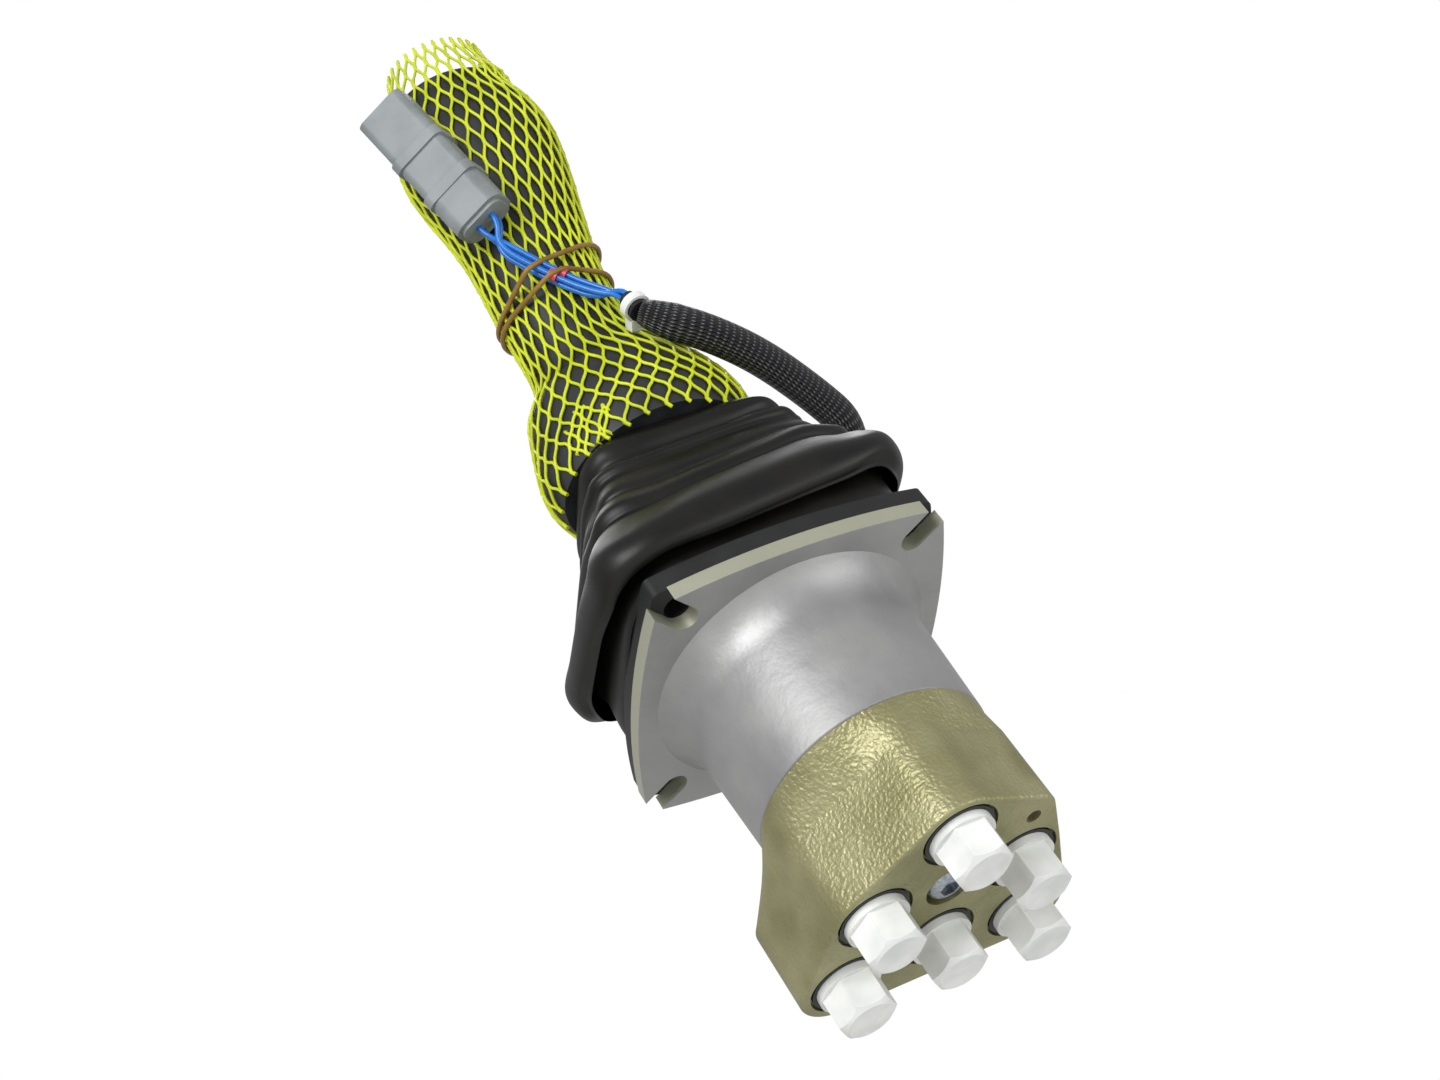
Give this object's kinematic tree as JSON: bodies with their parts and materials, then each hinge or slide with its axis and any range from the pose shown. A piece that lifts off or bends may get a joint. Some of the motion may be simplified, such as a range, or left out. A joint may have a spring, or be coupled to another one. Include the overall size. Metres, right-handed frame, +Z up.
{
  "type": "hydraulic pilot joystick valve",
  "caption": "Hydraulic pilot control joystick valve: square-flanged valve body with six plugged ports, rubber boot, netted grip and switch harness.",
  "frame": {"origin": "centre of the four mounting holes on the lower face of the square mounting flange", "axes": "+Z up along the lever, -Y the front, which the grip leans towards, +X to the right"},
  "size_m": [0.1388, 0.139, 0.3892],
  "materials": {
    "die_cast_aluminium": "satin",
    "cast_body": "rough",
    "steel": "satin",
    "ground_steel": "gloss",
    "spring_steel": "satin",
    "bronze": "satin",
    "black_rubber": "satin",
    "white_nylon": "satin",
    "black_plastic": "matte",
    "net_plastic": "satin",
    "loom_braid": "matte",
    "wire_insulation": "gloss",
    "splice_plastic": "gloss",
    "connector_plastic": "satin",
    "wedge_plastic": "satin",
    "tan_rubber": "satin"
  },
  "bodies": {
    "base": {"flange_housing": "die_cast_aluminium", "cast_body": "cast_body", "centre_bolt": "steel", "bolt_washer": "steel", "chamber_seals": "black_rubber", "plunger_plate": "steel", "guide_bushes": "bronze", "wiper_seals": "black_rubber", "port_plugs": "white_nylon", "plug_seals": "black_rubber", "joint_stud": "steel", "boot_frame": "black_plastic", "boot": "black_rubber", "return_spring_front": "spring_steel", "return_spring_right": "spring_steel", "return_spring_rear": "spring_steel", "return_spring_left": "spring_steel"},
    "gimbal": {"joint_cross": "steel"},
    "lever": {"upper_yoke": "steel", "actuating_disc": "steel", "disc_nut": "steel", "lever_stem": "steel", "hand_rest": "black_plastic", "grip_left": "black_plastic", "grip_right": "black_plastic", "grip_screws": "steel", "top_plate": "black_plastic", "net_sleeve": "net_plastic", "loom_sleeve": "loom_braid", "cable_grommet": "black_rubber", "zip_tie": "white_nylon", "heat_shrink": "black_plastic", "harness_wires": "wire_insulation", "wire_splices": "splice_plastic", "connector_shell": "connector_plastic", "connector_wedge": "wedge_plastic", "connector_end_cap": "connector_plastic", "rubber_bands": "tan_rubber"},
    "button_left": {"button_left": "black_plastic"},
    "button_right": {"button_right": "black_plastic"},
    "plunger_front": {"plunger_front": "ground_steel", "spring_seat_front": "steel", "spool_front": "ground_steel", "metering_spring_front": "spring_steel"},
    "plunger_right": {"plunger_right": "ground_steel", "spring_seat_right": "steel", "spool_right": "ground_steel", "metering_spring_right": "spring_steel"},
    "plunger_rear": {"plunger_rear": "ground_steel", "spring_seat_rear": "steel", "spool_rear": "ground_steel", "metering_spring_rear": "spring_steel"},
    "plunger_left": {"plunger_left": "ground_steel", "spring_seat_left": "steel", "spool_left": "ground_steel", "metering_spring_left": "spring_steel"}
  },
  "joints": [
    {"name": "pitch", "type": "hinge", "parent": "base", "child": "gimbal", "pos_m": [0, 0, 0.008], "axis": [1, 0, 0], "range_deg": [-18, 18], "stiffness_Nm_per_rad": 8, "deforming": ["boot"]},
    {"name": "roll", "type": "hinge", "parent": "gimbal", "child": "lever", "pos_m": [0, 0, 0.008], "axis": [0, 1, 0], "range_deg": [-18, 18], "stiffness_Nm_per_rad": 8},
    {"name": "plunger_front_slide", "type": "slide", "parent": "base", "child": "plunger_front", "axis": [0, 0, 1], "range_m": [-0.0082, 0.0082], "deforming": ["return_spring_front"]},
    {"name": "plunger_right_slide", "type": "slide", "parent": "base", "child": "plunger_right", "axis": [0, 0, 1], "range_m": [-0.0082, 0.0082], "deforming": ["return_spring_right"]},
    {"name": "plunger_rear_slide", "type": "slide", "parent": "base", "child": "plunger_rear", "axis": [0, 0, 1], "range_m": [-0.0082, 0.0082], "deforming": ["return_spring_rear"]},
    {"name": "plunger_left_slide", "type": "slide", "parent": "base", "child": "plunger_left", "axis": [0, 0, 1], "range_m": [-0.0082, 0.0082], "deforming": ["return_spring_left"]},
    {"name": "button_left_press", "type": "slide", "parent": "lever", "child": "button_left", "axis": [0, -0.2588, 0.9659], "range_m": [-0.003, 0], "stiffness_N_per_m": 800},
    {"name": "button_right_press", "type": "slide", "parent": "lever", "child": "button_right", "axis": [0, -0.2588, 0.9659], "range_m": [-0.003, 0], "stiffness_N_per_m": 800}
  ],
  "couplings": [
    {"joint": "plunger_rear_slide", "follows": "pitch", "m_per_rad": 0.026},
    {"joint": "plunger_front_slide", "follows": "pitch", "m_per_rad": -0.026},
    {"joint": "plunger_right_slide", "follows": "roll", "m_per_rad": -0.026},
    {"joint": "plunger_left_slide", "follows": "roll", "m_per_rad": 0.026}
  ]
}
